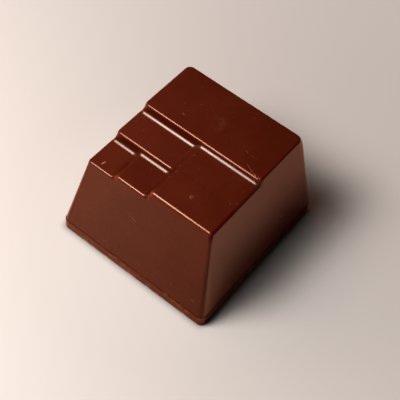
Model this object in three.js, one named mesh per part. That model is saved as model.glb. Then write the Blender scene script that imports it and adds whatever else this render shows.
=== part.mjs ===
// A moulded chocolate praline: a nearly square truncated pyramid whose top is cut into five flat
// terraces by straight steps, standing on a low foot band that closes the underside.
// Millimetres, +Z up. The origin is the middle of the underside and X runs along the shorter side.
import * as THREE from 'three';
import { mergeVertices } from 'three/addons/utils/BufferGeometryUtils.js';

// Overall sizes.
const HEIGHT = 17.7;
const BAND_HEIGHT = 2;
const BAND_PROUD = 0.08;
const SEAM_WIDTH = { x: 25.3, y: 26.5 };
const CROWN_WIDTH = { x: 19.8, y: 20.4 };

// Roundings: upright corners at the seam and, at full height, at the front and the back, the widest
// of the upper edges, hollow coves at the feet of the steps, and the band's lower and upper edges.
const SEAM_CORNER = 0.85;
const CROWN_CORNER = { front: 0.47, back: 0.88 };
const WIDEST_EDGE_ROUND = 0.42;
const COVE_ROUND = 0.68;
const COVE_RUN_OUT = 0.2;
const BAND_FOOT_ROUND = 0.4;
const BAND_TOP_ROUND = 0.12;

// The steps between the terraces. Each face leans out by STEP_DRAFT from the upright, and its upper
// edge lies at the given x or y.
const STEP_DRAFT = THREE.MathUtils.degToRad(15);
const LEFT_RIDGE_X = -5.7;
const RIGHT_RIDGE_X = -0.05;
const FRONT_STEP_Y = -5.18;
const BACK_STEP_Y = 0.27;

// Each terrace is a block whose top lies `drop` below the full height, with its upper edges rounded by
// `round`. Its left side is the outer wall or a ridge, and its front side is the outer wall or a step.
// Its other sides are the outer wall.
const TERRACES = [
  { name: 'front left', drop: 2.7, round: 0.25 },
  { name: 'front middle', drop: 2.04, round: 0.3, left: LEFT_RIDGE_X },
  { name: 'left middle', drop: 1.3, round: 0.25, front: FRONT_STEP_Y },
  { name: 'right front', drop: 0.7, round: WIDEST_EDGE_ROUND, left: RIGHT_RIDGE_X },
  { name: 'back strip', drop: 0, round: 0.25, front: BACK_STEP_Y },
];

// How finely the faceted solid is cut.
const ARC_PARTS = 4;
const CORNER_PARTS = 4;
const BAND_TOP_PARTS = 2;
const LONGEST_PANEL = 4;
const CLOSEST_LINES = 0.05;
const WALL_RINGS_BELOW_EDGE = [0.5, 1, 1.6];
const WELD = 1e-5;
const BISECTIONS = 40;

const { lerp } = THREE.MathUtils;

// ---------------------------------------------------------------------------------------------
// The body as a field: negative inside the chocolate, zero on its surface, positive outside.

// Both conditions at once, with the edge between them rounded.
function roundedBoth(a, b, radius) {
  const corner = Math.hypot(Math.max(radius + a, 0), Math.max(radius + b, 0));
  return Math.min(-radius, Math.max(a, b)) + corner;
}

// Either condition, with the valley between them filled by a cove.
function covedEither(a, b, radius) {
  const valley = Math.hypot(Math.max(radius - a, 0), Math.max(radius - b, 0));
  return Math.max(radius, Math.min(a, b)) - valley;
}

// Half the body's width along one axis at a height.
function wallAt(axis, z) {
  const rise = (z - BAND_HEIGHT) / (HEIGHT - BAND_HEIGHT);
  return lerp(SEAM_WIDTH[axis], CROWN_WIDTH[axis], rise) / 2;
}

// The plan radius of the body's upright corners.
function cornerAt(y, z) {
  const rise = (z - BAND_HEIGHT) / (HEIGHT - BAND_HEIGHT);
  const back = THREE.MathUtils.clamp(0.5 + y / CROWN_WIDTH.y, 0, 1);
  return lerp(SEAM_CORNER, lerp(CROWN_CORNER.front, CROWN_CORNER.back, back), rise);
}

// How far a point lies past a face that rises, with the step's draft, to an upper edge.
function pastStep(upperEdge, level, position, z) {
  const face = upperEdge - (level - z) * Math.tan(STEP_DRAFT);
  return (face - position) * Math.cos(STEP_DRAFT);
}

function terraceField(terrace, point) {
  const level = HEIGHT - terrace.drop;
  const wallX = wallAt('x', point.z);
  const wallY = wallAt('y', point.z);
  let pastX = Math.abs(point.x) - wallX;
  let pastY = Math.abs(point.y) - wallY;
  if (terrace.left !== undefined) {
    pastX = Math.max(point.x - wallX, pastStep(terrace.left, level, point.x, point.z));
  }
  if (terrace.front !== undefined) {
    pastY = Math.max(point.y - wallY, pastStep(terrace.front, level, point.y, point.z));
  }
  const sides = roundedBoth(pastX, pastY, cornerAt(point.y, point.z));
  return roundedBoth(sides, point.z - level, terrace.round);
}

// The coves run out just before they reach the outer walls.
function bodyField(point) {
  const past = Math.max(
    Math.abs(point.x) - wallAt('x', point.z),
    Math.abs(point.y) - wallAt('y', point.z),
  );
  const cove = COVE_ROUND * THREE.MathUtils.clamp(-past / COVE_RUN_OUT, 0, 1);
  let field = terraceField(TERRACES[0], point);
  for (const terrace of TERRACES.slice(1)) {
    field = covedEither(field, terraceField(terrace, point), cove);
  }
  return field;
}

// The surface point on the way from a start inside the chocolate, by halving.
function surfaceFrom(start, direction, reach) {
  let inside = 0;
  let outside = reach;
  const point = new THREE.Vector3();
  for (let halving = 0; halving < BISECTIONS; halving += 1) {
    const middle = (inside + outside) / 2;
    point.copy(start).addScaledVector(direction, middle);
    if (bodyField(point) < 0) {
      inside = middle;
    } else {
      outside = middle;
    }
  }
  return point.copy(start).addScaledVector(direction, outside);
}

const UP = new THREE.Vector3(0, 0, 1);

function topAt(x, y) {
  return surfaceFrom(new THREE.Vector3(x, y, BAND_HEIGHT + 1), UP, HEIGHT);
}

// ---------------------------------------------------------------------------------------------
// Grid lines over the top. A line lies at `at`, or follows an outer wall on its `side` (-1 or 1):
// `out` then goes from 0, a corner radius inside the wall, to 1, where the edge rounding starts.

function stepLines(upperEdge, round, depths) {
  const lines = [];
  const tangent = (1 - Math.sin(STEP_DRAFT)) / Math.cos(STEP_DRAFT);
  const sweep = Math.PI / 2 - STEP_DRAFT;
  for (let part = 0; part <= ARC_PARTS; part += 1) {
    const lean = Math.sin((sweep * part) / ARC_PARTS);
    lines.push(upperEdge + round * (tangent - lean));
    for (const depth of depths) {
      lines.push(upperEdge - depth * Math.tan(STEP_DRAFT) - COVE_ROUND * (tangent - lean));
    }
  }
  return lines;
}

// Step lines that lie very close to the last one are left out, and wide panels are cut up.
function gridLines(reach, stepPositions) {
  const marks = [...stepPositions, reach].sort((a, b) => a - b);
  const positions = [-reach];
  for (const mark of marks) {
    const start = positions.at(-1);
    const gap = mark - start;
    if (gap < CLOSEST_LINES) {
      continue;
    }
    const parts = Math.ceil(gap / LONGEST_PANEL);
    for (let part = 1; part <= parts; part += 1) {
      positions.push(start + (gap * part) / parts);
    }
  }
  const lines = positions.slice(1, -1).map((at) => ({ at, side: 0, out: 0 }));
  for (let part = 0; part <= CORNER_PARTS; part += 1) {
    const out = part / CORNER_PARTS;
    lines.unshift({ at: -reach, side: -1, out });
    lines.push({ at: reach, side: 1, out });
  }
  return lines;
}

// A step's lines, from the names of the terrace above it and of those at its foot.
function linesOfStep(upperEdge, above, feet) {
  const named = (name) => TERRACES.find((terrace) => terrace.name === name);
  const depths = feet.map((foot) => named(foot).drop - named(above).drop);
  return stepLines(upperEdge, named(above).round, depths);
}

const xLines = gridLines(CROWN_WIDTH.x / 2 - CROWN_CORNER.back, [
  ...linesOfStep(LEFT_RIDGE_X, 'front middle', ['front left']),
  ...linesOfStep(RIGHT_RIDGE_X, 'right front', ['left middle', 'front middle']),
]);

const yLines = gridLines(CROWN_WIDTH.y / 2 - CROWN_CORNER.back, [
  ...linesOfStep(FRONT_STEP_Y, 'left middle', ['front middle', 'front left']),
  ...linesOfStep(BACK_STEP_Y, 'back strip', ['right front', 'left middle']),
]);

// Turns the square spread of two `out` values into a quarter disc, so that the grid's corners follow
// the rounded corners of the body.
function spread(outX, outY) {
  const far = Math.max(outX, outY);
  if (far === 0) {
    return { x: 0, y: 0 };
  }
  const eighth = Math.PI / 4;
  const angle = outX >= outY ? (eighth * outY) / far : 2 * eighth - (eighth * outX) / far;
  return { x: far * Math.cos(angle), y: far * Math.sin(angle) };
}

// The top point of a grid crossing, with the plan direction that leads out of it.
function crossing(lineX, lineY) {
  const level = topAt(lineX.at, lineY.at).z;
  const turn = spread(lineX.out, lineY.out);
  const corner = cornerAt(lineY.at, level);
  const reach = corner - WIDEST_EDGE_ROUND;
  const anchorX = lineX.side ? lineX.side * (wallAt('x', level) - corner) : lineX.at;
  const anchorY = lineY.side ? lineY.side * (wallAt('y', level) - corner) : lineY.at;
  const x = anchorX + lineX.side * turn.x * reach;
  const y = anchorY + lineY.side * turn.y * reach;
  const outward = new THREE.Vector3(lineX.side * turn.x, lineY.side * turn.y, 0).normalize();
  return { point: topAt(x, y), outward };
}

// ---------------------------------------------------------------------------------------------
// Closed meshes from rings of points.

function solidMesh(name, points, faces, material) {
  const geometry = new THREE.BufferGeometry();
  const positions = new Float32Array(points.flatMap((point) => point.toArray()));
  geometry.setAttribute('position', new THREE.BufferAttribute(positions, 3));
  geometry.setIndex(faces.flat());
  const welded = mergeVertices(geometry, WELD);
  welded.computeVertexNormals();
  const mesh = new THREE.Mesh(welded, material);
  mesh.name = name;
  return mesh;
}

// Two triangles for each stretch between a lower ring and the ring above it. Rings hold the indices
// of their points and run anticlockwise seen from above.
function bridge(lower, upper) {
  return lower.flatMap((corner, index) => {
    const next = (index + 1) % lower.length;
    return [
      [corner, lower[next], upper[next]],
      [corner, upper[next], upper[index]],
    ];
  });
}

function fan(ring, centre, facingUp) {
  return ring.map((corner, index) => {
    const next = ring[(index + 1) % ring.length];
    return facingUp ? [centre, corner, next] : [centre, next, corner];
  });
}

// ---------------------------------------------------------------------------------------------
// Body: the terraced top over the grid, a rounded edge all round it, and the walls to the seam.

// The indices of a grid's outermost crossings, anticlockwise from the front left one.
function gridBorder(columns, rows) {
  const border = [];
  for (let column = 0; column < columns - 1; column += 1) {
    border.push(column);
  }
  for (let row = 0; row < rows - 1; row += 1) {
    border.push(row * columns + columns - 1);
  }
  for (let column = columns - 1; column > 0; column -= 1) {
    border.push((rows - 1) * columns + column);
  }
  for (let row = rows - 1; row > 0; row -= 1) {
    border.push(row * columns);
  }
  return border;
}

// The wall straight out from under a border point, at a height.
function wallPoint({ point, outward }, z) {
  return surfaceFrom(new THREE.Vector3(point.x, point.y, z), outward, SEAM_WIDTH.x / 2);
}

// A point on the rounded edge beside a border point, `angle` round from the upright.
function edgePoint({ point, outward }, angle) {
  const centre = new THREE.Vector3(point.x, point.y, point.z - WIDEST_EDGE_ROUND);
  const direction = outward.clone().multiplyScalar(Math.sin(angle));
  direction.z = Math.cos(angle);
  return surfaceFrom(centre, direction, CROWN_CORNER.back);
}

function makeBody(material) {
  const columns = xLines.length;
  const rows = yLines.length;
  const crossings = yLines.flatMap((lineY) => xLines.map((lineX) => crossing(lineX, lineY)));
  const points = crossings.map(({ point }) => point);
  const faces = [];
  for (let row = 0; row + 1 < rows; row += 1) {
    for (let column = 0; column + 1 < columns; column += 1) {
      const near = row * columns + column;
      const far = near + columns;
      faces.push([near, near + 1, far + 1], [near, far + 1, far]);
    }
  }

  // Rings below the border: round the edge, then down the wall to the seam. The first wall rings are
  // close together, because the ends of the steps cut into the wall there.
  const border = gridBorder(columns, rows);
  const rings = [border];
  const addRing = (place) => {
    const first = points.length;
    points.push(...border.map((index) => place(crossings[index])));
    rings.push(border.map((_, step) => first + step));
  };
  for (let part = 1; part <= ARC_PARTS; part += 1) {
    addRing((start) => edgePoint(start, (Math.PI / 2) * (part / ARC_PARTS)));
  }
  for (const below of WALL_RINGS_BELOW_EDGE) {
    addRing((start) => wallPoint(start, start.point.z - WIDEST_EDGE_ROUND - below));
  }
  addRing((start) => wallPoint(start, BAND_HEIGHT));
  for (let row = 0; row + 1 < rings.length; row += 1) {
    faces.push(...bridge(rings[row + 1], rings[row]));
  }
  points.push(new THREE.Vector3(0, 0, BAND_HEIGHT));
  faces.push(...fan(rings.at(-1), points.length - 1, false));
  return solidMesh('chocolate_body', points, faces, material);
}

// ---------------------------------------------------------------------------------------------
// Foot band: a low rounded rectangle, slightly proud of the body, flat above and below.

// The corners of a rectangle, anticlockwise from the front right one.
const CORNER_SIDES = [[1, -1], [1, 1], [-1, 1], [-1, -1]];

function bandRing(inset, z) {
  const radius = SEAM_CORNER + BAND_PROUD - inset;
  const centreX = SEAM_WIDTH.x / 2 - SEAM_CORNER;
  const centreY = SEAM_WIDTH.y / 2 - SEAM_CORNER;
  const parts = 2 * CORNER_PARTS;
  const ring = [];
  CORNER_SIDES.forEach(([sideX, sideY], corner) => {
    for (let part = 0; part <= parts; part += 1) {
      const angle = (Math.PI / 2) * (corner - 1 + part / parts);
      const x = sideX * centreX + radius * Math.cos(angle);
      const y = sideY * centreY + radius * Math.sin(angle);
      ring.push(new THREE.Vector3(x, y, z));
    }
  });
  return ring;
}

function makeBand(material) {
  const rings = [];
  for (let part = 0; part <= ARC_PARTS; part += 1) {
    const angle = (Math.PI / 2) * (part / ARC_PARTS);
    const inset = BAND_FOOT_ROUND * (1 - Math.sin(angle));
    rings.push(bandRing(inset, BAND_FOOT_ROUND * (1 - Math.cos(angle))));
  }
  for (let part = 0; part <= BAND_TOP_PARTS; part += 1) {
    const angle = (Math.PI / 2) * (part / BAND_TOP_PARTS);
    const inset = BAND_TOP_ROUND * (1 - Math.cos(angle));
    rings.push(bandRing(inset, BAND_HEIGHT - BAND_TOP_ROUND * (1 - Math.sin(angle))));
  }
  const points = rings.flat();
  const length = rings[0].length;
  const indices = rings.map((ring, row) => ring.map((_, step) => row * length + step));
  const faces = [];
  for (let row = 0; row + 1 < rings.length; row += 1) {
    faces.push(...bridge(indices[row], indices[row + 1]));
  }
  points.push(new THREE.Vector3(0, 0, 0), new THREE.Vector3(0, 0, BAND_HEIGHT));
  faces.push(...fan(indices[0], points.length - 2, false));
  faces.push(...fan(indices.at(-1), points.length - 1, true));
  return solidMesh('chocolate_base', points, faces, material);
}

// ---------------------------------------------------------------------------------------------
// Materials and assembly.

const bodyMaterial = new THREE.MeshStandardMaterial({ color: 0x5a2616, roughness: 0.35, metalness: 0 });
const baseMaterial = new THREE.MeshStandardMaterial({ color: 0x603020, roughness: 0.5, metalness: 0 });

const praline = new THREE.Group();
praline.add(makeBand(baseMaterial));
praline.add(makeBody(bodyMaterial));

export default praline;
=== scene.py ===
"""A moulded chocolate praline on a pale floor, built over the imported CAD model.

The shape is worked out in millimetres, in the CAD model's frame, and written in metres. X runs along
the shorter side, the front is -Y and Z is up.
"""

import math

import bpy
import numpy as np
from mathutils import Matrix, Vector


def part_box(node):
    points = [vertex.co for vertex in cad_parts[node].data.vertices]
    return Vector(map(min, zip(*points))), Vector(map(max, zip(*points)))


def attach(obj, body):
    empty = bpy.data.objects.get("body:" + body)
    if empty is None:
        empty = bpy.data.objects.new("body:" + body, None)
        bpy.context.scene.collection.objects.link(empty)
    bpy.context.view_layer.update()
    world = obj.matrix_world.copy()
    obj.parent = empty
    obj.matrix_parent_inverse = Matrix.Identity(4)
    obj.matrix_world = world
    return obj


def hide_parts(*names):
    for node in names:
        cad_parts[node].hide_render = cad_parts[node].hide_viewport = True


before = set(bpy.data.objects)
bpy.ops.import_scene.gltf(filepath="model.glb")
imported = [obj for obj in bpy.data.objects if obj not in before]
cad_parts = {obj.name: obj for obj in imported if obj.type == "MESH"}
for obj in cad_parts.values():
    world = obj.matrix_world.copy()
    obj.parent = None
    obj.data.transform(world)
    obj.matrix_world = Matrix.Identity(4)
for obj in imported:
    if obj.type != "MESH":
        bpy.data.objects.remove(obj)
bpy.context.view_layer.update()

MM = 0.001
SEED = 4

# ---------------------------------------------------------------------------------------------
# Sizes, in millimetres. The overall ones come from the frame.

body_low, body_high = (np.array(corner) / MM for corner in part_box("chocolate_body"))
band_low, band_high = (np.array(corner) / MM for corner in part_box("chocolate_base"))

# The most that a scuff stands proud. The body stops short of the CAD model's top by as much.
MARK_RELIEF = 0.012
HEIGHT = body_high[2] - MARK_RELIEF
SEAM_HEIGHT = body_low[2]
BAND_PROUD = 0.08
BAND_WIDTH = (band_high - band_low)[:2]
SEAM_WIDTH = BAND_WIDTH - 2 * BAND_PROUD
CROWN_WIDTH = (19.8, 20.4)

# Upright corners at the seam and at full height, the widest of the upper edges, the coves at the
# feet of the steps, and the small roundings at the seam and under the band.
SEAM_CORNER = 0.85
CROWN_CORNER_FRONT = 0.47
CROWN_CORNER_BACK = 0.88
EDGE_ROUND = 0.42
COVE_ROUND = 0.68
COVE_RUN_OUT = 0.2
SEAM_LIP_ROUND = 0.08
BAND_FOOT_ROUND = 0.4

# Each step's face leans out by STEP_DRAFT, and its upper edge lies at the given x or y.
STEP_DRAFT = math.radians(15)
LEFT_RIDGE_X = -5.7
RIGHT_RIDGE_X = -0.05
FRONT_STEP_Y = -5.18
BACK_STEP_Y = 0.27

# Each terrace: how far its top lies below the full height, the rounding of its upper edges, and
# the upper edges of its left and front sides where those are steps and not the outer wall.
TERRACES = {
    "front left": (2.7, 0.25, None, None),
    "front middle": (2.04, 0.3, LEFT_RIDGE_X, None),
    "left middle": (1.3, 0.25, None, FRONT_STEP_Y),
    "right front": (0.7, EDGE_ROUND, RIGHT_RIDGE_X, None),
    "back strip": (0.0, 0.25, None, BACK_STEP_Y),
}

# How finely the surface is cut.
FLAT_SPACING = 0.26
STEP_SPACING = 0.045
SPACING_GROWTH = 0.3
CORNER_PARTS = 8
EDGE_PARTS = 8
LIP_PARTS = 4
WALL_FINE_DEPTH = 2.4
WALL_FINE_SPACING = 0.1
RINGS_OVER_LIP = (0.16, 0.08, 0)
BAND_LEVELS = 12
BAND_STRAIGHT_PARTS = 150
HALVINGS = 26


# ---------------------------------------------------------------------------------------------
# The body as a field over arrays of points: negative inside the chocolate, positive outside.

def rounded_both(a, b, radius):
    """Both conditions at once, with the edge between them rounded."""
    corner = np.hypot(np.maximum(radius + a, 0), np.maximum(radius + b, 0))
    return np.minimum(-radius, np.maximum(a, b)) + corner


def coved_either(a, b, radius):
    """Either condition, with the valley between them filled by a cove."""
    valley = np.hypot(np.maximum(radius - a, 0), np.maximum(radius - b, 0))
    return np.maximum(radius, np.minimum(a, b)) - valley


def rise(z):
    """The share of the way from the seam to the full height."""
    return (z - SEAM_HEIGHT) / (HEIGHT - SEAM_HEIGHT)


def wall_at(axis, z):
    """Half the body's width along an axis at a height."""
    return (SEAM_WIDTH[axis] + (CROWN_WIDTH[axis] - SEAM_WIDTH[axis]) * rise(z)) / 2


def corner_at(y, z):
    """The plan radius of the body's corners, which at the crown is wider at the back."""
    back = np.clip(0.5 + y / CROWN_WIDTH[1], 0, 1)
    crown = CROWN_CORNER_FRONT + (CROWN_CORNER_BACK - CROWN_CORNER_FRONT) * back
    return SEAM_CORNER + (crown - SEAM_CORNER) * rise(z)


def past_walls(x, y, z):
    """How far a point lies past the outer walls: negative between them."""
    return np.maximum(np.abs(x) - wall_at(0, z), np.abs(y) - wall_at(1, z))


def past_step(upper_edge, level, position, z):
    """How far a point lies past a step's leaning face, towards the step's foot."""
    face = upper_edge - (level - z) * math.tan(STEP_DRAFT)
    return (face - position) * math.cos(STEP_DRAFT)


def terrace_field(terrace, x, y, z):
    drop, edge_round, left, front = terrace
    level = HEIGHT - drop
    past_x = np.abs(x) - wall_at(0, z)
    past_y = np.abs(y) - wall_at(1, z)
    if left is not None:
        past_x = np.maximum(x - wall_at(0, z), past_step(left, level, x, z))
    if front is not None:
        past_y = np.maximum(y - wall_at(1, z), past_step(front, level, y, z))
    sides = rounded_both(past_x, past_y, corner_at(y, z))
    return rounded_both(sides, z - level, edge_round)


def body_field(points):
    """All the terraces together. The coves run out just before they reach the outer walls."""
    x, y, z = points[..., 0], points[..., 1], points[..., 2]
    cove = COVE_ROUND * np.clip(-past_walls(x, y, z) / COVE_RUN_OUT, 0, 1)
    blocks = [terrace_field(terrace, x, y, z) for terrace in TERRACES.values()]
    field = blocks[0]
    for block in blocks[1:]:
        field = coved_either(field, block, cove)
    return field


def outward_normals(points, step=0.004):
    """Unit normals of the field, by central differences."""
    shifts = np.eye(3) * step
    slopes = [body_field(points + shift) - body_field(points - shift) for shift in shifts]
    normals = np.stack(slopes, axis=-1)
    return normals / np.linalg.norm(normals, axis=-1, keepdims=True)


def bend_at(points, reach=0.12):
    """How sharply the surface bends, in 1/mm: positive on convex edges and negative in coves."""
    shifts = np.eye(3) * reach
    around = sum(body_field(points + shift) + body_field(points - shift) for shift in shifts)
    return (around - 2 * len(shifts) * body_field(points)) / reach ** 2


def surface_from(starts, directions, reach):
    """The surface points on the way out from starts inside the chocolate, by halving."""
    inside = np.zeros(starts.shape[:-1])
    outside = np.full(starts.shape[:-1], float(reach))
    for _ in range(HALVINGS):
        middle = (inside + outside) / 2
        within = body_field(starts + directions * middle[..., None]) < 0
        inside = np.where(within, middle, inside)
        outside = np.where(within, outside, middle)
    return starts + directions * outside[..., None]


def top_at(x, y):
    """The points of the top over x and y."""
    starts = np.stack([x, y, np.full_like(x, SEAM_HEIGHT + 1)], axis=-1)
    return surface_from(starts, np.array([0.0, 0.0, 1.0]), HEIGHT)


# ---------------------------------------------------------------------------------------------
# The body's surface: a grid over the top, rings round its edge, and rings down the walls. Rings run
# anticlockwise seen from above.

def quarter_turn(parts):
    """The angles that cut a quarter circle into parts."""
    return [math.pi / 2 * part / parts for part in range(parts + 1)]


def step_zone(upper_edge, deepest):
    """The stretch of x or y that a step's rounding, face and cove take up."""
    foot = upper_edge - deepest * math.tan(STEP_DRAFT) - COVE_ROUND
    return foot, upper_edge + EDGE_ROUND


def graded_positions(reach, zones):
    """Positions from -reach to reach, close together in the zones and further apart away from them."""
    positions = [-reach]
    while positions[-1] < reach:
        here = positions[-1]
        away = min(max(low - here, here - high, 0) for low, high in zones)
        positions.append(here + min(FLAT_SPACING, STEP_SPACING + SPACING_GROWTH * away))
    positions = np.array(positions)
    return -reach + (positions + reach) * (2 * reach) / (positions[-1] + reach)


def grid_lines(reach, zones):
    """Grid lines as (at, side, out): out goes from 0 to 1 over the corner radius beside a wall."""
    out = np.linspace(0, 1, CORNER_PARTS + 1)
    middle = graded_positions(reach, zones)[1:-1]
    ends = np.full(out.size, reach)
    at = np.concatenate([-ends, middle, ends])
    side = np.concatenate([-np.ones(out.size), np.zeros(middle.size), np.ones(out.size)])
    share = np.concatenate([out[::-1], np.zeros(middle.size), out])
    return at, side, share


def spread(out_x, out_y):
    """Turns the square spread of two shares into a quarter disc, for the rounded corners."""
    far = np.maximum(out_x, out_y)
    safe = np.where(far > 0, far, 1)
    eighth = math.pi / 4
    angle = np.where(out_x >= out_y, eighth * out_y / safe, 2 * eighth - eighth * out_x / safe)
    return far * np.cos(angle), far * np.sin(angle)


def top_grid():
    """The top's points in rows and columns, and the plan direction that leads out of each."""
    drop = {name: terrace[0] for name, terrace in TERRACES.items()}
    x_zones = [
        step_zone(LEFT_RIDGE_X, drop["front left"] - drop["front middle"]),
        step_zone(RIGHT_RIDGE_X, drop["front middle"] - drop["right front"]),
    ]
    y_zones = [
        step_zone(FRONT_STEP_Y, drop["front left"] - drop["left middle"]),
        step_zone(BACK_STEP_Y, drop["left middle"]),
    ]
    x_lines = grid_lines(CROWN_WIDTH[0] / 2 - CROWN_CORNER_BACK, x_zones)
    y_lines = grid_lines(CROWN_WIDTH[1] / 2 - CROWN_CORNER_BACK, y_zones)
    (at_x, at_y), (side_x, side_y), (out_x, out_y) = map(np.meshgrid, x_lines, y_lines)
    turn_x, turn_y = spread(out_x, out_y)
    level = top_at(at_x, at_y)[..., 2]
    corner = corner_at(at_y, level)
    reach = corner - EDGE_ROUND
    anchor_x = np.where(side_x != 0, side_x * (wall_at(0, level) - corner), at_x)
    anchor_y = np.where(side_y != 0, side_y * (wall_at(1, level) - corner), at_y)
    top = top_at(anchor_x + side_x * turn_x * reach, anchor_y + side_y * turn_y * reach)
    outward = np.stack([side_x * turn_x, side_y * turn_y, np.zeros_like(turn_x)], axis=-1)
    return top, outward


def grid_border(rows, columns):
    """The indices of the grid's outermost crossings, anticlockwise from the front left one."""
    index = np.arange(rows * columns).reshape(rows, columns)
    return np.concatenate([index[0, :-1], index[:-1, -1], index[-1, :0:-1], index[:0:-1, 0]])


def edge_rings(border, outward):
    """Rings down the rounded edge beside the grid's border."""
    centre = border - [0, 0, EDGE_ROUND]
    rings = []
    for angle in quarter_turn(EDGE_PARTS)[1:]:
        direction = outward * math.sin(angle) + [0, 0, math.cos(angle)]
        rings.append(surface_from(centre, direction, CROWN_CORNER_BACK))
    return rings


def wall_rings(border, outward):
    """Rings down the walls to the seam's lip, close together at first."""
    edge_foot = border[:, 2] - EDGE_ROUND
    fine = np.arange(WALL_FINE_SPACING, WALL_FINE_DEPTH, WALL_FINE_SPACING)
    levels = [edge_foot - below for below in fine]
    lip = SEAM_HEIGHT + SEAM_LIP_ROUND
    parts = math.ceil((levels[-1].max() - lip) / FLAT_SPACING)
    levels += [levels[-1] + (lip - levels[-1]) * part / parts for part in range(1, parts)]
    levels += [np.full(len(border), lip + above) for above in RINGS_OVER_LIP]
    rings = []
    for level in levels:
        starts = np.column_stack([border[:, :2], level])
        rings.append(surface_from(starts, outward, SEAM_WIDTH[0] / 2))
    return rings


def lip_rings(wall_foot, outward):
    """Rings round the seam's small rounded lip."""
    rings = []
    for angle in quarter_turn(LIP_PARTS)[1:]:
        ring = wall_foot - outward * SEAM_LIP_ROUND * (1 - math.cos(angle))
        ring[:, 2] = SEAM_HEIGHT + SEAM_LIP_ROUND * (1 - math.sin(angle))
        rings.append(ring)
    return rings


def ring_bridge(lower, upper):
    """Quads between a ring of indices and the ring above it."""
    return np.stack([lower, np.roll(lower, -1), np.roll(upper, -1), upper], axis=1)


def body_surface():
    """The body's points and quads, and the ring at the seam that its underside fills."""
    top, outward = top_grid()
    rows, columns = top.shape[:2]
    border = grid_border(rows, columns)
    top, outward = top.reshape(-1, 3), outward.reshape(-1, 3)[border]
    outward /= np.linalg.norm(outward, axis=1, keepdims=True)
    below = edge_rings(top[border], outward) + wall_rings(top[border], outward)
    below += lip_rings(below[-1], outward)

    added = len(top) + np.arange(len(below) * len(border))
    rings = [border, *added.reshape(len(below), len(border))]
    near = np.arange(rows * columns).reshape(rows, columns)[:-1, :-1].ravel()
    quads = [np.stack([near, near + 1, near + columns + 1, near + columns], axis=1)]
    quads += [ring_bridge(lower, upper) for upper, lower in zip(rings, rings[1:])]
    return np.concatenate([top, *below]), np.concatenate(quads), rings[-1]


# ---------------------------------------------------------------------------------------------
# Materials. What goes into a node may be a number, a colour or another node's socket.

class Look:
    """A Blender material, with short ways to add nodes to it."""

    def __init__(self, name):
        self.material = bpy.data.materials.new(name)
        self.material.use_nodes = True
        self.nodes = self.material.node_tree.nodes
        self.links = self.material.node_tree.links
        self.shader = self.nodes["Principled BSDF"]

    def feed(self, socket, value):
        if isinstance(value, bpy.types.NodeSocket):
            self.links.new(value, socket)
        elif isinstance(value, tuple):
            socket.default_value = (*value, 1)
        else:
            socket.default_value = value

    def put(self, key, value):
        """Feeds one of the surface shader's own sockets."""
        self.feed(self.shader.inputs[key], value)

    def noise(self, scale, detail=2.0, roughness=0.5, stretch=(1, 1, 1), distortion=0.0):
        """Object-space noise. The scale is in repeats per metre."""
        place = self.nodes.new("ShaderNodeTexCoord")
        mapping = self.nodes.new("ShaderNodeMapping")
        mapping.inputs["Scale"].default_value = stretch
        texture = self.nodes.new("ShaderNodeTexNoise")
        self.feed(texture.inputs["Scale"], scale)
        self.feed(texture.inputs["Detail"], detail)
        self.feed(texture.inputs["Roughness"], roughness)
        self.feed(texture.inputs["Distortion"], distortion)
        self.links.new(place.outputs["Object"], mapping.inputs["Vector"])
        self.links.new(mapping.outputs["Vector"], texture.inputs["Vector"])
        return texture.outputs["Fac"]

    def position(self):
        """The X and Y of a point in its piece's own coordinates, in metres."""
        place = self.nodes.new("ShaderNodeTexCoord")
        axes = self.nodes.new("ShaderNodeSeparateXYZ")
        self.links.new(place.outputs["Object"], axes.inputs["Vector"])
        return axes.outputs["X"], axes.outputs["Y"]

    def attribute(self, key):
        """A value that the mesh carries at each of its points."""
        node = self.nodes.new("ShaderNodeAttribute")
        node.attribute_name = key
        return node.outputs["Fac"]

    def ranged(self, value, low, high, to_low=0.0, to_high=1.0):
        """Takes a value from low..high to to_low..to_high, and holds it there."""
        node = self.nodes.new("ShaderNodeMapRange")
        self.feed(node.inputs["Value"], value)
        self.feed(node.inputs["From Min"], low)
        self.feed(node.inputs["From Max"], high)
        self.feed(node.inputs["To Min"], to_low)
        self.feed(node.inputs["To Max"], to_high)
        return node.outputs["Result"]

    def maths(self, operation, *values):
        node = self.nodes.new("ShaderNodeMath")
        node.operation = operation
        for socket, value in zip(node.inputs, values):
            self.feed(socket, value)
        return node.outputs["Value"]

    def length(self, x, y):
        square = self.maths("MULTIPLY", x, x)
        square = self.maths("MULTIPLY_ADD", y, y, square)
        return self.maths("SQRT", square)

    def mixed(self, share, first, second):
        """A colour between two others."""
        node = self.nodes.new("ShaderNodeMix")
        node.data_type = "RGBA"
        self.feed(node.inputs["Factor"], share)
        colours = [socket for socket in node.inputs if socket.type == "RGBA"]
        for socket, colour in zip(colours, (first, second)):
            self.feed(socket, colour)
        return next(socket for socket in node.outputs if socket.type == "RGBA")

    def bump(self, height, distance):
        """Raises the surface's shading by a height. The distance is in millimetres."""
        node = self.nodes.new("ShaderNodeBump")
        node.inputs["Strength"].default_value = 1
        node.inputs["Distance"].default_value = distance * MM
        self.feed(node.inputs["Height"], height)
        self.put("Normal", node.outputs["Normal"])


# Base colours.
CHOCOLATE = (0.05, 0.0064, 0.002)
CHOCOLATE_DARK = (0.046, 0.0056, 0.0016)
CHOCOLATE_LIGHT = (0.055, 0.0076, 0.0024)
# Painted glow: a redder colour painted along the front edges where the key light's highlights fall.
CHOCOLATE_EDGE_GLOW = (0.085, 0.0115, 0.0025)
# Painted shade: a darker colour for the steps' leaning faces and the coves before the front step.
CHOCOLATE_STEP_SHADE = (0.036, 0.004, 0.001)
# Painted shade: a darker, redder colour for the upright front corners, the right wall's top edge and
# the seam.
CHOCOLATE_SHADED = (0.055, 0.0025, 0.0006)
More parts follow.
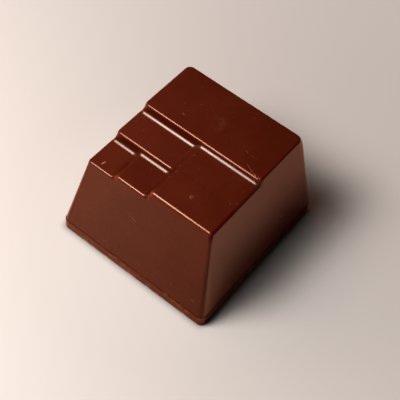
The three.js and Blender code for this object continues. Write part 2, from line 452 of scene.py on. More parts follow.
# Painted glow: a light orange colour for the thin front ends of the steps.
CHOCOLATE_GLOW = (0.33, 0.08, 0.018)
CHOCOLATE_PALE = (0.33, 0.15, 0.09)
CHOCOLATE_DRY = (0.26, 0.1, 0.04)

# Tints of the gloss.
GLOSS_PLAIN = (1.0, 1.0, 1.0)
GLOSS_LIT = (1.0, 0.72, 0.6)
GLOSS_DULL = (0.5, 0.3, 0.22)
GLOSS_FOOT = (0.52, 0.37, 0.28)
# Painted shade and painted glow carry almost no gloss.
GLOSS_SHADED = (0.03, 0.01, 0.01)
IOR = 1.45


def clouded(look, cloud):
    """Chocolate a little darker and lighter in clouds."""
    return look.mixed(look.ranged(cloud, 0.36, 0.64), CHOCOLATE_DARK, CHOCOLATE_LIGHT)


def shell_material():
    """Mould-polished milk chocolate: faintly cloudy and softly uneven in gloss, with painted light and
    shade: a painted reddish glow on the lit front edges, painted shade on the step faces, dark edges
    and seam, and a painted glow at the steps' thin front ends.
    """
    look = Look("polished_chocolate")
    cloud = look.noise(170, detail=3, distortion=0.6)
    fleck = look.noise(1900)
    dust = look.ranged(look.noise(2600, detail=1), 0.71, 0.78, 0, 0.08)
    torn = look.ranged(look.noise(900, detail=4), 0.42, 0.62, 0, 0.14)
    haze = look.maths("MULTIPLY", look.attribute("haze"), torn)
    colour = clouded(look, cloud)
    colour = look.mixed(look.attribute("step_shade"), colour, CHOCOLATE_STEP_SHADE)
    colour = look.mixed(look.attribute("lit_edge"), colour, CHOCOLATE_EDGE_GLOW)
    colour = look.mixed(look.attribute("painted_shade"), colour, CHOCOLATE_SHADED)
    colour = look.mixed(look.attribute("glow"), colour, CHOCOLATE_GLOW)
    colour = look.mixed(dust, colour, CHOCOLATE_PALE)
    colour = look.mixed(haze, colour, CHOCOLATE_PALE)
    look.put("Base Color", colour)

    gloss = look.ranged(cloud, 0.3, 0.7, 0.185, 0.215)
    uneven = look.ranged(fleck, 0.3, 0.7, -0.02, 0.03)
    look.put("Roughness", look.maths("ADD", gloss, uneven))
    tint = look.mixed(look.attribute("lit_edge"), GLOSS_PLAIN, GLOSS_LIT)
    tint = look.mixed(look.attribute("step_shade"), tint, GLOSS_DULL)
    tint = look.mixed(look.attribute("painted_shade"), tint, GLOSS_SHADED)
    tint = look.mixed(look.attribute("glow"), tint, GLOSS_SHADED)
    look.put("Specular Tint", tint)
    look.put("IOR", IOR)
    look.bump(look.maths("MULTIPLY_ADD", fleck, 0.06, look.noise(420)), 0.01)
    return look.material


def foot_material():
    """The poured and scraped foot: duller chocolate with dry orange-brown blotches, and painted shade
    just under the seam.
    """
    look = Look("scraped_chocolate")
    cloud = look.noise(260, detail=3)
    grain = look.noise(1700, detail=3, roughness=0.6)
    torn = look.noise(1300, detail=6, roughness=0.7, stretch=(1, 1, 1.7), distortion=1.5)
    patch = look.maths("MULTIPLY", look.attribute("blotch"), look.ranged(torn, 0.42, 0.64))
    colour = look.mixed(look.ranged(patch, 0.1, 0.55, 0, 0.9), clouded(look, cloud), CHOCOLATE_DRY)
    # Painted shade just under the seam.
    colour = look.mixed(look.attribute("painted_shade"), colour, CHOCOLATE_SHADED)
    look.put("Base Color", colour)
    look.put("Roughness", look.ranged(grain, 0.3, 0.7, 0.3, 0.42))
    look.put("Specular Tint", look.mixed(look.attribute("painted_shade"), GLOSS_FOOT, GLOSS_SHADED))
    look.put("IOR", IOR)
    look.bump(look.maths("ADD", grain, cloud), 0.03)
    return look.material


def scuff_material():
    """Rubbed chocolate: rough, and paler where a mark has more wear."""
    look = Look("scuffed_chocolate")
    broken = look.ranged(look.noise(2400), 0.35, 0.6, 0.35, 1)
    share = look.maths("MULTIPLY", look.attribute("wear"), broken)
    look.put("Base Color", look.mixed(share, CHOCOLATE, CHOCOLATE_PALE))
    look.put("Roughness", look.ranged(share, 0, 1, 0.25, 0.5))
    look.put("Specular Tint", GLOSS_DULL)
    look.put("IOR", IOR)
    return look.material


# ---------------------------------------------------------------------------------------------
# Pieces.

def mesh_piece(name, points, quads, caps, attributes, material):
    """A smooth mesh object from millimetre points, quads and closing rings of vertices."""
    mesh = bpy.data.meshes.new(name)
    faces = quads.tolist() + [list(map(int, cap)) for cap in caps]
    mesh.from_pydata((points * MM).tolist(), [], faces)
    mesh.shade_smooth()
    for key, values in attributes.items():
        layer = mesh.attributes.new(key, "FLOAT", "POINT")
        layer.data.foreach_set("value", values.astype(np.float32))
    mesh.update()
    mesh.materials.append(material)
    piece = bpy.data.objects.new(name, mesh)
    bpy.context.scene.collection.objects.link(piece)
    return piece


def share_of(values, start, end):
    """How far values have gone from start to end, held between 0 and 1."""
    return np.clip((values - start) / (end - start), 0, 1)


# Where a point starts to count as something and where it fully does. Bends are in 1/mm, and the
# rest of the first block are parts of the unit normal.
EDGE_BEND = (0, 2.2)
CORNER_BEND = (0.1, 0.9)
COVE_BEND = (0.1, 0.6)
UP_FOR_EDGE = (0.3, 0.5)
UP_FOR_WALL = (0.4, 0.2)
UP_FOR_STEP = (0.9, 0.6)
UP_FOR_TOP = (0.9, 0.98)
FACING_FRONT = (0, 0.15)
FACING_RIGHT = (0, 0.2)
FACING_BOTH = (0.03, 0.15)

# The same for heights above the seam, distances past the outer walls, and y at the front step.
OFF_SEAM = (0.1, 0.4)
AT_SEAM = (0.22, 0.1)
PAST_FOR_SIDE_EDGE = (-1, -0.5)
PAST_FOR_CORNER = (-0.6, -0.4)
PAST_FOR_STEP = (-0.3, -0.6)
BEFORE_FRONT_STEP = (FRONT_STEP_Y + 0.5, FRONT_STEP_Y)

SEAM_SHADE = 0.8
LOW_COVE_SHADE = 0.4

# Faint pale clouds on the tops, as x, y, radius and strength.
HAZES = (
    (-0.15, 4.45, 0.8, 0.5),
    (0.35, 3.7, 0.5, 0.35),
    (0.0, 5.4, 0.5, 0.3),
    (4.45, -7.4, 0.35, 0.8),
)

# A painted orange glow at the thin front ends of the two ridges' steps, standing in for light let
# through
# the chocolate: the ridge, the terrace above it and the strength. Each is a ball of STEP_END_REACH
# just inside the front edge.
STEP_ENDS = (
    (LEFT_RIDGE_X, "front middle", 0.2),
    (RIGHT_RIDGE_X, "right front", 0.36),
)
STEP_END_REACH = 0.4
STEP_END_INSIDE = (0.05, 0.1, -0.25)


def seam_waver(points):
    """An uneven run of values round the seam, mostly between -1 and 1."""
    turn = np.arctan2(points[:, 1], points[:, 0])
    long_waves = np.sin(37 * turn) * np.sin(23 * turn + 1)
    short_waves = np.sin(91 * turn + 2) * np.cos(11 * turn)
    return long_waves + 0.5 * short_waves


def haze_at(points):
    return sum(
        strength * np.exp(-((points[:, 0] - x) ** 2 + (points[:, 1] - y) ** 2) / radius ** 2)
        for x, y, radius, strength in HAZES
    )


def glow_at(points):
    glow = np.zeros(len(points))
    for ridge_x, terrace, strength in STEP_ENDS:
        level = HEIGHT - TERRACES[terrace][0]
        end = np.array([ridge_x, -wall_at(1, level), level]) + STEP_END_INSIDE
        away = ((points - end) ** 2).sum(axis=1) / STEP_END_REACH ** 2
        glow = np.maximum(glow, strength * np.exp(-away))
    return glow


def body_attributes(points):
    """What the material needs to know about each point, as shares from 0 to 1."""
    bend = bend_at(points)
    right, back, up = outward_normals(points).T
    past = past_walls(*points.T)
    above_seam = points[:, 2] - SEAM_HEIGHT
    off_seam = share_of(above_seam, *OFF_SEAM)

    edge = share_of(bend, *EDGE_BEND) * off_seam * share_of(up, *UP_FOR_EDGE)
    # lit_edge marks the front-facing convex edges that catch the key light. The shell paints a reddish
    # glow there and tints their gloss.
    lit_edge = edge * share_of(-back - np.abs(right), *FACING_FRONT)
    # Painted shade: the right wall's top edge, the upright front corners and the seam are painted
    # darker, with almost no gloss.
    side_edge = edge * share_of(right - np.abs(back), *FACING_RIGHT)
    side_edge *= share_of(past, *PAST_FOR_SIDE_EDGE)
    corner = share_of(np.minimum(np.abs(right), np.abs(back)), *FACING_BOTH)
    corner *= share_of(bend, *CORNER_BEND) * share_of(up, *UP_FOR_WALL)
    corner *= share_of(past, *PAST_FOR_CORNER) * off_seam
    seam = SEAM_SHADE * share_of(above_seam, *AT_SEAM) * (0.6 + 0.4 * seam_waver(points))

    # Painted shade: the step faces, and the coves before the front step, get darker chocolate and
    # duller gloss.
    low_cove = share_of(-bend, *COVE_BEND) * share_of(points[:, 1], *BEFORE_FRONT_STEP)
    step = np.maximum(share_of(up, *UP_FOR_STEP), LOW_COVE_SHADE * low_cove)
    return {
        "lit_edge": lit_edge,
        "painted_shade": np.maximum.reduce([corner, side_edge, seam]),
        "step_shade": step * share_of(past, *PAST_FOR_STEP),
        "haze": haze_at(points) * share_of(up, *UP_FOR_TOP),
        "glow": glow_at(points),
    }


def make_body(material):
    points, quads, seam_ring = body_surface()
    caps = [seam_ring[::-1]]
    piece = mesh_piece("praline_body", points, quads, caps, body_attributes(points), material)
    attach(piece, "root")
    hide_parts("chocolate_body")


# Dry blotches and chips on the band's front, as x, z and radius. The other sides have random ones.
FRONT_BLOTCHES = (
    (-9.1, 0.5, 0.22), (-8.2, 0.55, 0.42), (-7.4, 0.9, 0.3), (-3.7, 1.45, 0.2), (-2.7, 1.85, 0.28),
    (-2.4, 1.7, 0.22), (-1.3, 1.1, 0.34), (-1.0, 0.8, 0.3), (-0.2, 1.0, 0.32), (0.6, 0.5, 0.25),
    (3.4, 0.95, 0.28), (3.6, 0.35, 0.22), (4.9, 0.6, 0.2), (6.2, 1.7, 0.2), (7.7, 1.55, 0.3),
    (8.7, 1.5, 0.3), (9.4, 0.6, 0.25), (10.0, 1.5, 0.25), (12.4, 1.75, 0.4),
)
FRONT_CHIPS = (
    (-8.6, 0.0, 0.35), (-7.0, 0.1, 0.25), (-4.6, 0.0, 0.3), (-2.2, 1.9, 0.2), (-0.2, 0.0, 0.35),
    (2.9, 0.1, 0.3), (6.3, 1.9, 0.2), (8.9, 1.9, 0.22), (9.6, 0.0, 0.3),
)
BLOTCHES_PER_SIDE = 10
BLOTCH_HEIGHTS = (0.3, 1.9)
BLOTCH_SPREAD = 1.6
CHIPS_PER_SIDE = 6
CHIP_HEIGHTS = (0, 0.3)
CHIP_DEPTH = 0.14
SPOT_RADII = (0.18, 0.38)

# The band's side wavers in and out by up to BAND_WAVER, above its lower edge.
BAND_WAVER = 0.035
WAVER_HEIGHTS = (0.1, 0.6)
WAVES_ROUND_BAND = (7, 12, 19, 31, 53, 83)
WAVE_TOTAL = 1.6

# The band's painted shade under the seam, a dark line, as heights below it.
BAND_SHADE_DEPTHS = (0.09, 0.03)


def band_ring(inset, z):
    """A ring round the band, at an inset from its side, with points along its straights too."""
    radius = SEAM_CORNER + BAND_PROUD - inset
    centres = np.array([(1, -1), (1, 1), (-1, 1), (-1, -1)]) * (SEAM_WIDTH / 2 - SEAM_CORNER)
    shares = np.arange(1, BAND_STRAIGHT_PARTS)[:, None] / BAND_STRAIGHT_PARTS
    flat = []
    for turn, (centre, following) in enumerate(zip(centres, np.roll(centres, -1, axis=0))):
        angles = np.array(quarter_turn(CORNER_PARTS)) + math.pi / 2 * (turn - 1)
        arc = centre + radius * np.column_stack([np.cos(angles), np.sin(angles)])
        flat += [arc, arc[-1] + (following - centre) * shares]
    flat = np.concatenate(flat)
    return np.column_stack([flat, np.full(len(flat), z)])


def band_rings():
    """Rings up the band's rounded foot, its side and its small lip at the seam."""
    rings = []
    for angle in quarter_turn(EDGE_PARTS):
        inset = BAND_FOOT_ROUND * (1 - math.sin(angle))
        rings.append(band_ring(inset, BAND_FOOT_ROUND * (1 - math.cos(angle))))
    for z in np.linspace(BAND_FOOT_ROUND, SEAM_HEIGHT - SEAM_LIP_ROUND, BAND_LEVELS)[1:-1]:
        rings.append(band_ring(0, z))
    for angle in quarter_turn(LIP_PARTS):
        inset = SEAM_LIP_ROUND * (1 - math.cos(angle))
        rings.append(band_ring(inset, SEAM_HEIGHT - SEAM_LIP_ROUND * (1 - math.sin(angle))))
    return rings


def band_spots(rng, front, count, heights):
    """Spots on all four sides as x, y, z and radius: the listed front ones and random others."""
    half_x, half_y = BAND_WIDTH / 2
    spots = [(x, -half_y, z, radius) for x, z, radius in front]
    for side in ("right", "back", "left"):
        for _ in range(count):
            along, z, radius = rng.uniform(-1, 1), rng.uniform(*heights), rng.uniform(*SPOT_RADII)
            if side == "back":
                spots.append((along * half_x, half_y, z, radius))
            else:
                spots.append((half_x if side == "right" else -half_x, along * half_y, z, radius))
    return spots


def nearness(points, spots, spread_by=1):
    """For each point, how close it lies to the nearest spot: 1 at a spot's middle, 0 far away."""
    best = np.zeros(len(points))
    for *middle, radius in spots:
        away = ((points - middle) ** 2).sum(axis=1) / (radius * spread_by) ** 2
        best = np.maximum(best, np.exp(-away))
    return best


def band_waver(points, rng):
    """A smooth seeded unevenness round the band, from 0 to 1."""
    turn = np.arctan2(points[:, 1] / SEAM_WIDTH[1], points[:, 0] / SEAM_WIDTH[0])
    total = np.zeros(len(points))
    for waves in WAVES_ROUND_BAND:
        phase, lean = rng.uniform(0, 2 * math.pi), rng.uniform(-1.2, 1.2)
        total += np.sin(waves * turn + phase + lean * points[:, 2]) / math.sqrt(waves)
    return np.clip(0.5 + total / WAVE_TOTAL, 0, 1)


def make_base(material, rng):
    rings = band_rings()
    index = np.arange(len(rings) * len(rings[0])).reshape(len(rings), -1)
    quads = np.concatenate([ring_bridge(lower, upper) for lower, upper in zip(index, index[1:])])
    points = np.concatenate(rings)

    chips = nearness(points, band_spots(rng, FRONT_CHIPS, CHIPS_PER_SIDE, CHIP_HEIGHTS))
    waver = band_waver(points, rng) * share_of(points[:, 2], *WAVER_HEIGHTS)
    outward = points[:, :2] / np.linalg.norm(points[:, :2], axis=1, keepdims=True)
    points[:, :2] -= outward * (CHIP_DEPTH * chips + BAND_WAVER * waver)[:, None]

    blotches = band_spots(rng, FRONT_BLOTCHES, BLOTCHES_PER_SIDE, BLOTCH_HEIGHTS)
    attributes = {
        "blotch": nearness(points, blotches, BLOTCH_SPREAD),
        # Painted shade just under the seam.
        "painted_shade": SEAM_SHADE * share_of(SEAM_HEIGHT - points[:, 2], *BAND_SHADE_DEPTHS),
    }
    caps = [index[0][::-1], index[-1]]
    piece = mesh_piece("praline_base", points, quads, caps, attributes, material)
    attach(piece, "root")
    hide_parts("chocolate_base")


# ---------------------------------------------------------------------------------------------
# Scuffs: low beads of rubbed chocolate that follow lines on the surface.

# Each mark: its width, its wear from 0 to 1, and its line. A mark on the tops is given in x and y,
# one on the front or back wall in x and z, and one on a side wall in y and z.
MARKS = {
    "top": (
        (0.22, 0.95, ((-8.65, -10.0), (-8.45, -9.2))),
        (0.12, 0.25, ((0.3, -5.6), (0.6, -5.2))),
        (0.12, 0.22, ((0.1, -6.8), (0.35, -6.5))),
        (0.12, 0.2, ((-0.1, -4.5), (0.2, -4.2))),
        (0.12, 0.2, ((0.3, -1.9), (0.6, -1.6))),
        (0.12, 0.5, ((8.75, -4.95), (8.85, -4.85))),
        (0.12, 0.4, ((9.4, -4.35), (9.5, -4.25))),
        (0.13, 0.4, ((-5.0, 2.65), (-4.8, 2.35), (-4.5, 2.35), (-4.4, 2.65))),
        (0.12, 0.25, ((-4.75, 3.2), (-4.6, 3.25))),
        (0.12, 0.4, ((-4.05, 5.35), (-3.95, 5.45))),
        (0.12, 0.3, ((-5.95, 4.05), (-5.85, 4.15))),
        (0.12, 0.1, ((-0.4, 4.3), (-0.15, 4.55), (0.0, 4.9))),
        (0.1, 0.1, ((0.2, 3.6), (0.55, 3.8))),
        (0.12, 0.35, ((2.5, 3.4), (2.6, 3.5))),
        (0.12, 0.3, ((2.0, 3.7), (2.1, 3.8))),
        (0.12, 0.35, ((2.85, 8.35), (2.95, 8.45))),
        (0.12, 0.25, ((5.25, 8.55), (5.35, 8.65))),
        (0.12, 0.25, ((-6.35, 9.25), (-6.25, 9.35))),
        (0.08, 0.06, ((4.0, 3.5), (5.4, 3.05), (7.0, 2.85), (7.85, 2.9))),
        (0.08, 0.06, ((-2.75, 6.05), (-1.15, 5.1), (-0.2, 5.45))),
        (0.11, 0.4, ((6.8, 1.4), (7.65, 1.0), (8.4, 0.7), (8.9, 0.5))),
        (0.16, 0.8, ((8.3, 0.75), (8.7, 0.6), (9.0, 0.4))),
        (0.15, 0.7, ((9.1, 0.75), (9.4, 0.6), (9.7, 0.45))),
    ),
    "front": (
        (0.12, 0.7, ((-2.65, 11.15), (-2.2, 11.0), (-1.7, 10.8), (-1.3, 10.6), (-0.9, 10.5))),
        (0.1, 0.15, ((-1.2, 9.3), (-0.7, 9.35), (-0.3, 9.75))),
        (0.18, 0.45, ((-5.3, 3.3), (-5.15, 3.35))),
        (0.18, 0.5, ((-4.85, 3.65), (-4.65, 3.7))),
        (0.16, 0.45, ((-4.95, 3.3), (-4.8, 3.25))),
        (0.16, 0.35, ((-4.4, 3.3), (-4.3, 3.3))),
        (0.14, 0.35, ((-6.8, 4.0), (-6.65, 4.0))),
        (0.14, 0.3, ((-10.9, 10.95), (-10.8, 10.95))),
        (0.14, 0.3, ((-7.3, 15.0), (-7.2, 15.0))),
        (0.14, 0.3, ((5.6, 3.2), (5.75, 3.2))),
        (0.14, 0.35, ((9.35, 13.7), (9.45, 13.7))),
        (0.1, 0.4, ((10.1, 4.25), (10.45, 4.15), (10.85, 3.95))),
        (0.12, 0.3, ((6.35, 4.3), (6.9, 4.4))),
        (0.11, 0.25, ((0.85, 3.9), (1.35, 3.5))),
        (0.12, 0.0, ((-2.75, 4.5), (-2.8, 3.45), (-2.6, 2.8))),
    ),
    "right": (
        (0.14, 0.35, ((-2.15, 16.6), (-2.05, 16.6))),
        (0.12, 0.25, ((5.2, 6.1), (5.9, 5.8))),
        (0.1, 0.25, ((-4.6, 3.2), (-3.9, 3.1))),
    ),
}

# A small pit on the right front terrace: an open ring with a short mark in its middle.
PIT_MIDDLE = np.array([4.45, -7.4])
PIT_RADIUS = 0.2
PIT_RING = np.linspace(0.3, 2 * math.pi - 0.2, 14)
PIT_RING_MARK = (0.16, 0.35)
PIT_MIDDLE_MARK = (0.2, 0.25)
PIT_MIDDLE_REACH = 0.1

# Random marks on the left and back walls. Each line's middle is lifted by HIDDEN_BOW.
HIDDEN_SIDE_MARKS = 9
HIDDEN_PLACES = (-9, 9)
HIDDEN_HEIGHTS = (2.8, 13)
HIDDEN_LENGTHS = (0.1, 1.1)
HIDDEN_LEANS = (-0.5, 0.5)
HIDDEN_WIDTHS = (0.07, 0.13)
HIDDEN_WEAR = (0.1, 0.4)
HIDDEN_BOW = 0.05

WALL_DIRECTIONS = {
    "front": (0.0, -1.0, 0.0),
    "back": (0.0, 1.0, 0.0),
    "right": (1.0, 0.0, 0.0),
    "left": (-1.0, 0.0, 0.0),
}
BEAD_SPACING = 0.12
BEAD_SIDES = 6
FEWEST_BEAD_RINGS = 4
BEAD_END = 0.25
FAINTEST_RELIEF = 0.5


def pit_marks():
    around = np.column_stack([np.cos(PIT_RING), np.sin(PIT_RING)])
    reach = np.array([PIT_MIDDLE_REACH, 0])
    return [
        ("top", *PIT_RING_MARK, PIT_MIDDLE + PIT_RADIUS * around),
        ("top", *PIT_MIDDLE_MARK, (PIT_MIDDLE - reach, PIT_MIDDLE + reach)),
    ]


def hidden_marks(rng):
    marks = []
    for side in ("left", "back"):
        for _ in range(HIDDEN_SIDE_MARKS):
            start = np.array([rng.uniform(*HIDDEN_PLACES), rng.uniform(*HIDDEN_HEIGHTS)])
            run = rng.uniform(*HIDDEN_LENGTHS) * np.array([1, rng.uniform(*HIDDEN_LEANS)])
            line = (start, start + run / 2 + [0, HIDDEN_BOW], start + run)
            marks.append((side, rng.uniform(*HIDDEN_WIDTHS), rng.uniform(*HIDDEN_WEAR), line))
    return marks


def smoothed(line, cuts=2):
    """A line with its corners cut, and points spread evenly along it."""
    line = np.array(line, dtype=float)
    for _ in range(cuts if len(line) > 2 else 0):
        near = line[:-1] * 0.75 + line[1:] * 0.25
        far = line[:-1] * 0.25 + line[1:] * 0.75
        line = np.concatenate([line[:1], np.stack([near, far], axis=1).reshape(-1, 2), line[-1:]])
    along = np.concatenate([[0], np.cumsum(np.linalg.norm(np.diff(line, axis=0), axis=1))])
    count = max(FEWEST_BEAD_RINGS, math.ceil(along[-1] / BEAD_SPACING) + 1)
    places = np.linspace(0, along[-1], count)
    return np.column_stack([np.interp(places, along, line[:, axis]) for axis in (0, 1)])


def on_surface(side, line):
    """The points of the body's surface over or beside a flat line."""
    if side == "top":
        return top_at(*line.T)
    starts = np.zeros((len(line), 3))
    starts[:, (0, 2) if side in ("front", "back") else (1, 2)] = line
    return surface_from(starts, np.array(WALL_DIRECTIONS[side]), SEAM_WIDTH[1])


def bead(path, width, wear):
    """The rings of a closed bead, half sunk in the surface, lower where it is less worn."""
    normals = outward_normals(path)
    aside = np.cross(normals, np.gradient(path, axis=0))
    aside /= np.linalg.norm(aside, axis=1, keepdims=True)
    bulge = np.sin(np.linspace(0, math.pi, len(path))) ** 0.5
    taper = BEAD_END + (1 - BEAD_END) * bulge
    relief = MARK_RELIEF * (FAINTEST_RELIEF + (1 - FAINTEST_RELIEF) * wear)
    points = []
    for centre, normal, across, share in zip(path, normals, aside, taper):
        for part in range(BEAD_SIDES):
            angle = 2 * math.pi * part / BEAD_SIDES
            swing = across * (math.cos(angle) * width / 2) + normal * (math.sin(angle) * relief)
            points.append(centre + swing * share)
    return np.array(points)


def make_scuffs(material, rng):
    marks = [(side, *mark) for side, listed in MARKS.items() for mark in listed]
    marks += pit_marks() + hidden_marks(rng)
    points, quads, caps, wear = [], [], [], []
    count = 0
    for side, width, mark_wear, line in marks:
        block = bead(on_surface(side, smoothed(line)), width, mark_wear)
        index = count + np.arange(len(block)).reshape(-1, BEAD_SIDES)
        count += len(block)
        points.append(block)
        quads += [ring_bridge(near, far) for near, far in zip(index, index[1:])]
        caps += [index[0][::-1], index[-1]]
        wear.append(np.full(len(block), mark_wear))
    points, quads = np.concatenate(points), np.concatenate(quads)
    attributes = {"wear": np.concatenate(wear)}
    piece = mesh_piece("praline_scuffs", points, quads, caps, attributes, material)
    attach(piece, "root")


# ---------------------------------------------------------------------------------------------
# Stage: a pale floor and backdrop for the camera, and warm floors and cards that only the gloss or
# the soft light sees. The floors lie FLOOR_GAP apart.

FLOOR_GAP = 0.01
FLOOR_WIDTH = 3000
BACKDROP_RADIUS = 1100
BACKDROP_HEIGHT = 900
BACKDROP_SIDES = 96
FLOOR_COLOUR = (0.56, 0.62, 0.67)
BACKDROP_COLOUR = (0.62, 0.575, 0.545)
BOUNCE_COLOUR = (0.26, 0.115, 0.08)
CARD_COLOUR = (1.0, 0.6, 0.45)
BLACK = (0.0, 0.0, 0.0)

# Within CONTACT_REACH of the foot the floor carries a painted contact shadow, down to CONTACT_SHADE of
# its colour at CONTACT_UNDER inside the foot's edge. It glows more and more over FLOOR_GLOW from the
# middle.
CONTACT_REACH = 1.1
CONTACT_UNDER = 0.2
CONTACT_SHADE = 0.42
FLOOR_GLOW = (25, 160)

# What the walls mirror. In front it goes from near to far along x, dimming as a painted falloff of the
# light. At the right it has a foot, darker as a painted shadow that turns almost black towards the
# back, and an upper colour, and each goes from front to back along y. Behind and at the left it is one
# colour.
MIRRORED_NEAR = (0.8, 0.385, 0.255)
MIRRORED_FAR = (0.45, 0.21, 0.135)
MIRRORED_RIGHT = (1.02, 0.52, 0.37)
MIRRORED_RIGHT_BACK = (0.91, 0.44, 0.3)
MIRRORED_FOOT = (0.8, 0.34, 0.22)
MIRRORED_SHADOW_BACK = (0.12, 0.0, 0.0)
MIRRORED_REAR = (1.0, 0.68, 0.56)

# Where those colours change, as millimetres from and to.
NEAR_TO_FAR = (-14, 14)
FRONT_TO_BACK = (-5, 20)
FOOT_TO_UPPER = (14, 18.6)
INTO_LEFT = (-11, -14)
OUT_OF_FRONT = (-16, -12)
INTO_REAR = (12, 15)
REAR_FROM_RIGHT = (18, 13)


def matte_look(name, colour):
    """A plain surface with no gloss."""
    look = Look(name)
    look.put("Base Color", colour)
    look.put("Roughness", 1)
    look.put("Specular IOR Level", 0)
    return look


def over(look, position, limits, to_low=0.0, to_high=1.0):
    """The share of the way between two positions in millimetres."""
    start, end = limits
    return look.ranged(position, start * MM, end * MM, to_low, to_high)


def floor_material():
    """Plain and pale, with a painted contact shadow right at the foot, and aglow far out where the
    close lights fall off.
    """
    look = matte_look("pale_floor", FLOOR_COLOUR)
    position = look.position()
    look.put("Emission Strength", over(look, look.length(*position), FLOOR_GLOW))
    look.put("Emission Color", BACKDROP_COLOUR)
    past = []
    for along, width in zip(position, BAND_WIDTH):
        inset = (width / 2 - SEAM_CORNER) * MM
        beyond = look.maths("SUBTRACT", look.maths("ABSOLUTE", along), inset)
        past.append(look.maths("MAXIMUM", beyond, 0))
    # A painted contact shadow: the colour dims towards the foot's edge.
    limits = (SEAM_CORNER + CONTACT_REACH, SEAM_CORNER - CONTACT_UNDER)
    near = over(look, look.length(*past), limits)
    near = look.maths("MULTIPLY", near, near)
    shade = tuple(CONTACT_SHADE * level for level in FLOOR_COLOUR)
    look.put("Base Color", look.mixed(near, FLOOR_COLOUR, shade))
    return look.material


def backdrop_material():
    look = matte_look("pale_backdrop", BLACK)
    look.put("Emission Strength", 1)
    look.put("Emission Color", BACKDROP_COLOUR)
    return look.material


def mirrored_material():
    """What the walls mirror: warm, with a painted falloff along the front and a painted shadow at the
    right wall's foot.
    """
    look = matte_look("warm_gloss", BLACK)
    x, y = look.position()
    colour = look.mixed(over(look, x, NEAR_TO_FAR), MIRRORED_NEAR, MIRRORED_FAR)
    along = over(look, y, FRONT_TO_BACK)
    # Painted shadow where the right wall's foot mirrors the floor.
    foot = look.mixed(along, MIRRORED_FOOT, MIRRORED_SHADOW_BACK)
    upper = look.mixed(along, MIRRORED_RIGHT, MIRRORED_RIGHT_BACK)
    beside = look.mixed(over(look, x, FOOT_TO_UPPER), foot, upper)
    beside = look.mixed(over(look, x, INTO_LEFT), beside, MIRRORED_REAR)
    colour = look.mixed(over(look, y, OUT_OF_FRONT), colour, beside)
    rear = look.maths("MULTIPLY", over(look, y, INTO_REAR), over(look, x, REAR_FROM_RIGHT))
    look.put("Base Color", look.mixed(rear, colour, MIRRORED_REAR))
    return look.material


def stage_piece(name, points, faces, material):
    """A piece of the set that no ray sees until its maker says which kind does."""
    mesh = bpy.data.meshes.new(name)
    mesh.from_pydata(points, [], faces)
    mesh.materials.append(material)
    piece = bpy.data.objects.new(name, mesh)
    bpy.context.scene.collection.objects.link(piece)
    piece.visible_camera = piece.visible_glossy = piece.visible_diffuse = False
    piece.visible_transmission = piece.visible_volume_scatter = piece.visible_shadow = False
    return piece


def make_rectangle(name, width, height, z, material):
    across, along = width / 2 * MM, height / 2 * MM
    sides = ((-1, -1), (1, -1), (1, 1), (-1, 1))
    corners = [(side_x * across, side_y * along, z * MM) for side_x, side_y in sides]
    return stage_piece(name, corners, [(0, 1, 2, 3)], material)


def make_floors():
    floor = make_rectangle("floor", FLOOR_WIDTH, FLOOR_WIDTH, 0, floor_material())
    floor.visible_camera = True
    gloss = make_rectangle(
        "floor_in_gloss", FLOOR_WIDTH, FLOOR_WIDTH, -FLOOR_GAP, mirrored_material(),
    )
    gloss.visible_glossy = True
    warm = matte_look("warm_bounce", BOUNCE_COLOUR).material
    bounce = make_rectangle("floor_bounce", FLOOR_WIDTH, FLOOR_WIDTH, -2 * FLOOR_GAP, warm)
    bounce.visible_diffuse = True


def make_backdrop():
    radius, height = BACKDROP_RADIUS * MM, BACKDROP_HEIGHT * MM
    turns = [2 * math.pi * side / BACKDROP_SIDES for side in range(BACKDROP_SIDES)]
    ring = [(radius * math.cos(turn), radius * math.sin(turn)) for turn in turns]
    points = [(x, y, z) for z in (0, height) for x, y in ring]
    faces = []
    for side in range(BACKDROP_SIDES):
        following = (side + 1) % BACKDROP_SIDES
        faces.append((following, side, side + BACKDROP_SIDES, following + BACKDROP_SIDES))
    backdrop = stage_piece("backdrop", points, faces, backdrop_material())
    backdrop.visible_camera = True


# ---------------------------------------------------------------------------------------------
# Camera and light. Distances and sizes are in millimetres.

CAMERA_AZIMUTH = math.radians(30.28)
CAMERA_ELEVATION = math.radians(54.16)
CAMERA_ROLL = math.radians(9.55)
CAMERA_DISTANCE = 136.88
CAMERA_LENS = 86.98
AIM_HEIGHT = 7.8
AIM_RIGHT = 0.941
AIM_UP = -1.95

WARM_WHITE = (1.0, 0.8, 0.68)
LOW_ORANGE = (1.0, 0.66, 0.42)
LOW_RED = (1.0, 0.22, 0.13)
WORLD_COLOUR = (1.0, 0.85, 0.7)
WORLD_STRENGTH = 0.02


def direction_from(azimuth, elevation):
    """The way from the object to a place round it. Azimuth 0 is in front, and it grows towards +X."""
    level = math.cos(elevation)
    return Vector((math.sin(azimuth) * level, -math.cos(azimuth) * level, math.sin(elevation)))


def make_camera():
    back = direction_from(CAMERA_AZIMUTH, CAMERA_ELEVATION)
    level_right = Vector((math.cos(CAMERA_AZIMUTH), math.sin(CAMERA_AZIMUTH), 0))
    level_up = back.cross(level_right)
    right = level_right * math.cos(CAMERA_ROLL) + level_up * math.sin(CAMERA_ROLL)
    up = back.cross(right)
    aim = Vector((0, 0, AIM_HEIGHT)) + right * AIM_RIGHT + up * AIM_UP
    place = (aim + back * CAMERA_DISTANCE) * MM
    data = bpy.data.cameras.new("camera")
    data.lens = CAMERA_LENS
    data.clip_start = 0.01
    camera = bpy.data.objects.new("camera", data)
    axes = Matrix((right, up, back)).transposed().to_4x4()
    camera.matrix_world = Matrix.Translation(place) @ axes
    bpy.context.scene.collection.objects.link(camera)
    bpy.context.scene.camera = camera


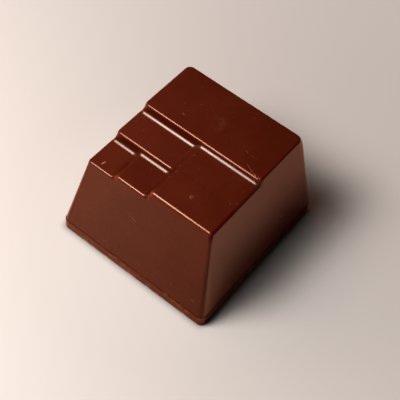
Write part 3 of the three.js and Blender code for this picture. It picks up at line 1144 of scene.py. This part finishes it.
def aim_at_object(thing, azimuth, elevation, distance):
    """Stands a thing off from the middle of the object, facing it. The angles are in degrees."""
    stand = direction_from(math.radians(azimuth), math.radians(elevation))
    thing.location = (Vector((0, 0, HEIGHT / 2)) + stand * distance) * MM
    thing.rotation_mode = "QUATERNION"
    thing.rotation_quaternion = (-stand).to_track_quat("-Z", "Y")


def make_softbox(name, azimuth, elevation, distance, size, power, colour):
    data = bpy.data.lights.new(name, "AREA")
    data.shape = "SQUARE"
    data.size = size * MM
    data.energy = power
    data.color = colour
    light = bpy.data.objects.new(name, data)
    aim_at_object(light, azimuth, elevation, distance)
    light.visible_camera = False
    bpy.context.scene.collection.objects.link(light)


def make_card(name, azimuth, elevation, distance, width, height, strength):
    """A soft-edged glowing card that only the gloss sees, so that the shaded walls still read."""
    look = matte_look(name, BLACK)
    look.put("Emission Color", CARD_COLOUR)
    shares = []
    for position, size in zip(look.position(), (width, height)):
        shares.append(over(look, look.maths("ABSOLUTE", position), (size / 2, size / 6)))
    glow = look.maths("MULTIPLY", *shares)
    look.put("Emission Strength", look.maths("MULTIPLY", glow, strength))
    card = make_rectangle(name, width, height, 0, look.material)
    card.visible_glossy = True
    aim_at_object(card, azimuth, elevation, distance)


def make_world():
    world = bpy.data.worlds.new("studio")
    world.use_nodes = True
    background = world.node_tree.nodes["Background"]
    background.inputs["Color"].default_value = (*WORLD_COLOUR, 1)
    background.inputs["Strength"].default_value = WORLD_STRENGTH
    bpy.context.scene.world = world


make_camera()
make_world()
make_softbox("key", -36, 55.5, 130, 62, 0.22, WARM_WHITE)
make_softbox("key_core", -36, 55.5, 128, 32, 0.06, WARM_WHITE)
make_softbox("left_fill", -75, 30, 150, 90, 0.03, LOW_ORANGE)
make_softbox("back_fill", -120, 50, 150, 90, 0.012, LOW_RED)
make_card("right_card", 88, 19, 170, 150, 120, 2.0)
make_card("back_card", 146, 10, 170, 130, 60, 1.6)
bpy.context.scene.view_settings.view_transform = "Standard"

rng = np.random.default_rng(SEED)
make_body(shell_material())
make_base(foot_material(), rng)
make_scuffs(scuff_material(), rng)
make_floors()
make_backdrop()
